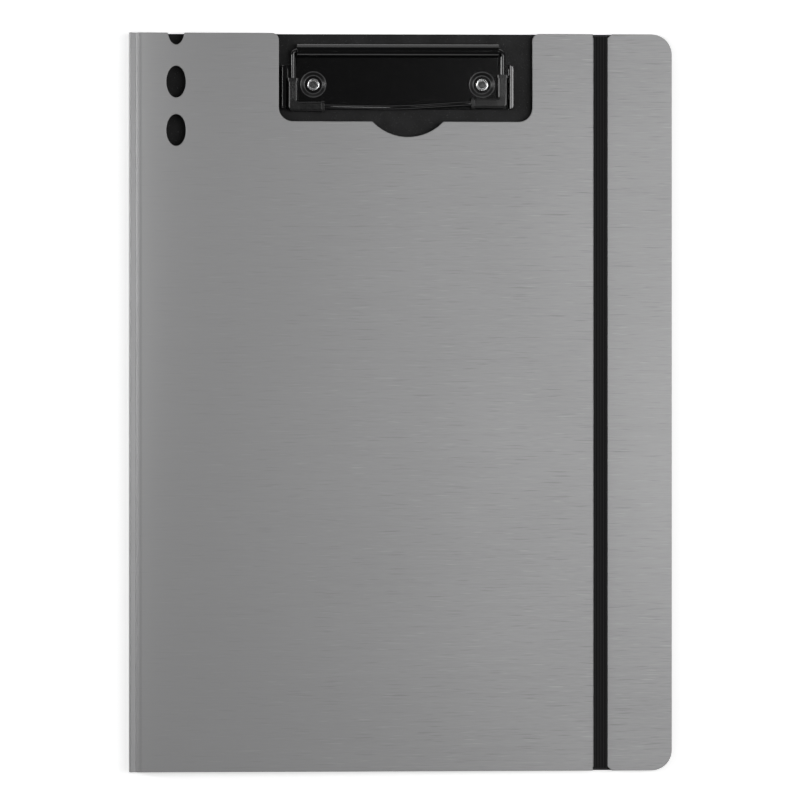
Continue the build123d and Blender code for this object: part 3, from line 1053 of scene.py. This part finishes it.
@dataclass(frozen=True)
class Band:
    """The flat elastic band and the eyelets that pin its ends."""

    width: float = 6.0 * MM
    thickness: float = 0.7 * MM
    section_points: int = 120
    rib_count: int = 5
    rib_depth: float = 0.7
    bend_radius: float = 0.75 * MM
    bend_steps: int = 8
    run_step: float = 2.5 * MM
    tail: float = 15.0 * MM
    free_from: float = 12.0 * MM
    free_over: float = 45.0 * MM
    webbing: Finish = Elastic("elastic_webbing")
    eyelet: Finish = Enamel("eyelet_enamel", roughness=0.25, peel=1800.0)

    def _path(self, half: int) -> list[Vector]:
        """Lays out the middle line of one half, from its pinned end to the middle of the cover.

        Args:
            half: 1 for the upper half, -1 for the lower one.

        Returns:
            The line's points.
        """
        low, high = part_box("elastic_band")
        x = (low.x + high.x) / 2
        edge_y = high.y - self.thickness / 2
        tail_z, run_z = low.z + self.thickness / 2, high.z - self.thickness / 2
        tail_y = cad_box[1].y - self.tail
        r, steps = self.bend_radius, self.bend_steps
        points = [(tail_y, tail_z)]
        for centre_z, start in ((tail_z + r, -90.0), (run_z - r, 0.0)):
            for step in range(steps + 1):
                angle = math.radians(start + 90.0 * step / steps)
                points.append((edge_y - r + r * math.cos(angle), centre_z + r * math.sin(angle)))
        length = edge_y - r
        count = math.ceil(length / self.run_step)
        points += [(length * (1 - step / count), run_z) for step in range(1, count + 1)]
        return [Vector((x, half * y, z)) for y, z in points]

    def _tree(self) -> bpy.types.NodeTree:
        """Builds the geometry nodes that sweep a ribbed section along a path.

        Returns:
            The node group.
        """
        tree = bpy.data.node_groups.new("ribbed_band", "GeometryNodeTree")
        graph = Graph(tree)
        tree.interface.new_socket("Path", in_out="INPUT", socket_type="NodeSocketGeometry")
        for name in ("Width", "Thickness", "Ribs", "Rib Depth"):
            tree.interface.new_socket(name, in_out="INPUT", socket_type="NodeSocketFloat")
        tree.interface.new_socket("Material", in_out="INPUT", socket_type="NodeSocketMaterial")
        tree.interface.new_socket("Band", in_out="OUTPUT", socket_type="NodeSocketGeometry")
        given = graph.node("NodeGroupInput")
        width, thickness, ribs, depth = (
            Signal(graph, given.outputs[name]) for name in ("Width", "Thickness", "Ribs", "Rib Depth")
        )
        # Section: a rounded bar whose two faces are ribbed along the band
        count = self.section_points
        circle = graph.node("GeometryNodeCurvePrimitiveCircle", None, {"Resolution": count, "Radius": 1.0})
        index = Signal(graph, graph.node("GeometryNodeInputIndex").outputs["Index"])
        angle = index * (2 * math.pi / count)
        cos, sin = angle.cosine(), angle.sine()
        across = cos.sign() * abs(cos) ** 0.62 * width / 2
        outline = sin.sign() * abs(sin) ** 0.3 * thickness / 2
        cord = abs((across / width * ribs * math.pi).cosine()) ** 0.5
        ripple = 1.0 - depth * (1.0 - cord)
        shaped = graph.node(
            "GeometryNodeSetPosition",
            None,
            {
                "Geometry": Signal(graph, circle.outputs["Curve"]),
                "Position": graph.vector(across, outline * ripple),
            },
        )
        kept = graph.node("GeometryNodeCaptureAttribute", {"domain": "POINT"})
        kept.capture_items.new("FLOAT", "Across")
        graph.feed(kept.inputs["Geometry"], Signal(graph, shaped.outputs["Geometry"]))
        graph.feed(kept.inputs["Across"], across)
        # Path
        path = graph.node("GeometryNodeMeshToCurve", None, {"Mesh": Signal(graph, given.outputs["Path"])})
        turned = graph.node(
            "GeometryNodeSetCurveNormal",
            {"mode": "FREE"},
            {"Curve": Signal(graph, path.outputs["Curve"]), "Normal": (1.0, 0.0, 0.0)},
        )
        measured = graph.node("GeometryNodeCaptureAttribute", {"domain": "POINT"})
        measured.capture_items.new("FLOAT", "Along")
        spline = graph.node("GeometryNodeSplineParameter")
        graph.feed(measured.inputs["Geometry"], Signal(graph, turned.outputs["Curve"]))
        graph.feed(measured.inputs["Along"], Signal(graph, spline.outputs["Length"]))
        swept = graph.node(
            "GeometryNodeCurveToMesh",
            None,
            {
                "Curve": Signal(graph, measured.outputs["Geometry"]),
                "Profile Curve": Signal(graph, kept.outputs["Geometry"]),
                "Fill Caps": True,
            },
        )
        stored = graph.node(
            "GeometryNodeStoreNamedAttribute",
            {"data_type": "FLOAT_VECTOR", "domain": "POINT"},
            {
                "Geometry": Signal(graph, swept.outputs["Mesh"]),
                "Name": WEAVE_PLACE,
                "Value": graph.vector(
                    Signal(graph, kept.outputs["Across"]), Signal(graph, measured.outputs["Along"])
                ),
            },
        )
        smooth = graph.node(
            "GeometryNodeSetShadeSmooth", None, {"Geometry": Signal(graph, stored.outputs["Geometry"])}
        )
        real = graph.node(
            "GeometryNodeRealizeInstances", None, {"Geometry": Signal(graph, smooth.outputs["Geometry"])}
        )
        painted = graph.node(
            "GeometryNodeSetMaterial",
            None,
            {
                "Geometry": Signal(graph, real.outputs["Geometry"]),
                "Material": Signal(graph, given.outputs["Material"]),
            },
        )
        graph.node("NodeGroupOutput", None, {"Band": Signal(graph, painted.outputs["Geometry"])})
        return tree

    def _half(self, name: str, half: int, tree: bpy.types.NodeTree) -> bpy.types.Object:
        """Builds one half of the band as a plain mesh.

        Args:
            name: name of the piece.
            half: 1 for the upper half, -1 for the lower one.
            tree: node group that weaves it.

        Returns:
            The piece.
        """
        points = self._path(half)
        data = bpy.data.meshes.new(name + "_path")
        data.from_pydata(points, [(i, i + 1) for i in range(len(points) - 1)], [])
        piece = bpy.data.objects.new(name, data)
        bpy.context.scene.collection.objects.link(piece)
        modifier = piece.modifiers.new("band", "NODES")
        modifier.node_group = tree
        values = {
            "Width": self.width,
            "Thickness": self.thickness,
            "Ribs": float(self.rib_count),
            "Rib Depth": self.rib_depth,
            "Material": self.webbing.material(),
        }
        for item in tree.interface.items_tree:
            if item.in_out == "INPUT" and item.name in values:
                modifier[item.identifier] = values[item.name]
        bpy.context.view_layer.update()
        seen = piece.evaluated_get(bpy.context.evaluated_depsgraph_get())
        woven = bpy.data.meshes.new_from_object(seen)
        piece.modifiers.clear()
        piece.data = woven
        woven.name = name
        mesh = bmesh.new()
        mesh.from_mesh(woven)
        bmesh.ops.recalc_face_normals(mesh, faces=mesh.faces)
        mesh.to_mesh(woven)
        mesh.free()
        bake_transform(piece)
        return piece

    def build(self) -> list[bpy.types.Object]:
        """Builds both halves and dresses the eyelets.

        Returns:
            The halves and the eyelets.
        """
        tree = self._tree()
        upper = self._half("band_upper", 1, tree)
        lower = self._half("band_lower", -1, tree)
        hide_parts("elastic_band")
        self.eyelet.dress(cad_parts["band_eyelets"])
        return [upper, lower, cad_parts["band_eyelets"]]


# Studio


@dataclass(frozen=True)
class Softbox:
    """One soft area light that looks at the folder."""

    name: str
    place: tuple[float, float, float]
    size: tuple[float, float]
    power: float

    def build(self) -> bpy.types.Object:
        """Hangs the light and turns it to the folder.

        Returns:
            The light.
        """
        light = bpy.data.lights.new(self.name, "AREA")
        light.shape = "RECTANGLE"
        light.size, light.size_y = self.size
        light.energy = self.power
        lamp = bpy.data.objects.new(self.name, light)
        lamp.location = self.place
        lamp.rotation_euler = (-Vector(self.place)).to_track_quat("-Z", "Y").to_euler()
        bpy.context.scene.collection.objects.link(lamp)
        return lamp


@dataclass(frozen=True)
class Studio:
    """Pale floor, soft light from the sides and a camera that looks down."""

    floor: Finish = StudioFloor("studio_floor")
    floor_half: float = 3.0
    floor_z: float = -0.05 * MM
    ambient: float = 0.09
    camera_place: tuple[float, float, float] = (-0.0553, 0.00103, 2.0)
    camera_lean: float = -0.0275
    lens: float = 210.2
    softboxes: tuple[Softbox, ...] = (
        Softbox("softbox_left", (-1.4, 0.2, 0.38), (0.24, 2.0), 13.0),
        Softbox("softbox_high", (-0.75, 0.1, 1.5), (0.2, 0.8), 1.5),
        Softbox("softbox_right", (0.85, 0.05, 1.55), (0.55, 1.4), 13.9),
        Softbox("card_top", (0.0, 1.6, 0.4), (3.0, 0.7), 8.0),
        Softbox("card_bottom", (0.0, -1.6, 0.4), (3.0, 0.7), 8.0),
    )

    def build(self) -> None:
        """Builds the stage and sets the scene's camera and world."""
        scene = bpy.context.scene
        data = bpy.data.meshes.new("floor")
        half, low = self.floor_half, self.floor_z
        corners = [(-half, -half, low), (half, -half, low), (half, half, low), (-half, half, low)]
        data.from_pydata(corners, [], [(0, 1, 2, 3)])
        floor = bpy.data.objects.new("floor", data)
        scene.collection.objects.link(floor)
        self.floor.dress(floor)
        lamps = [softbox.build() for softbox in self.softboxes]
        world = bpy.data.worlds.new("studio")
        world.use_nodes = True
        sky = world.node_tree.nodes["Background"]
        sky.inputs["Color"].default_value = (1.0, 1.0, 1.0, 1.0)
        sky.inputs["Strength"].default_value = self.ambient
        scene.world = world
        camera = bpy.data.cameras.new("camera")
        camera.lens = self.lens
        camera.sensor_width = 36.0
        viewer = bpy.data.objects.new("camera", camera)
        viewer.location = self.camera_place
        viewer.rotation_euler = (0.0, self.camera_lean, 0.0)
        scene.collection.objects.link(viewer)
        scene.camera = viewer
        scene.view_settings.view_transform = "Standard"


def main() -> None:
    """Builds the pieces in order and reports each one."""
    logging.basicConfig(level=logging.INFO, format="%(message)s", stream=sys.stdout)
    for group in (Covers(), Clip(), Band()):
        for piece in group.build():
            log.info("%s: %s, %d faces", type(group).__name__, piece.name, len(piece.data.polygons))
    Studio().build()


if __name__ == "__main__":
    main()
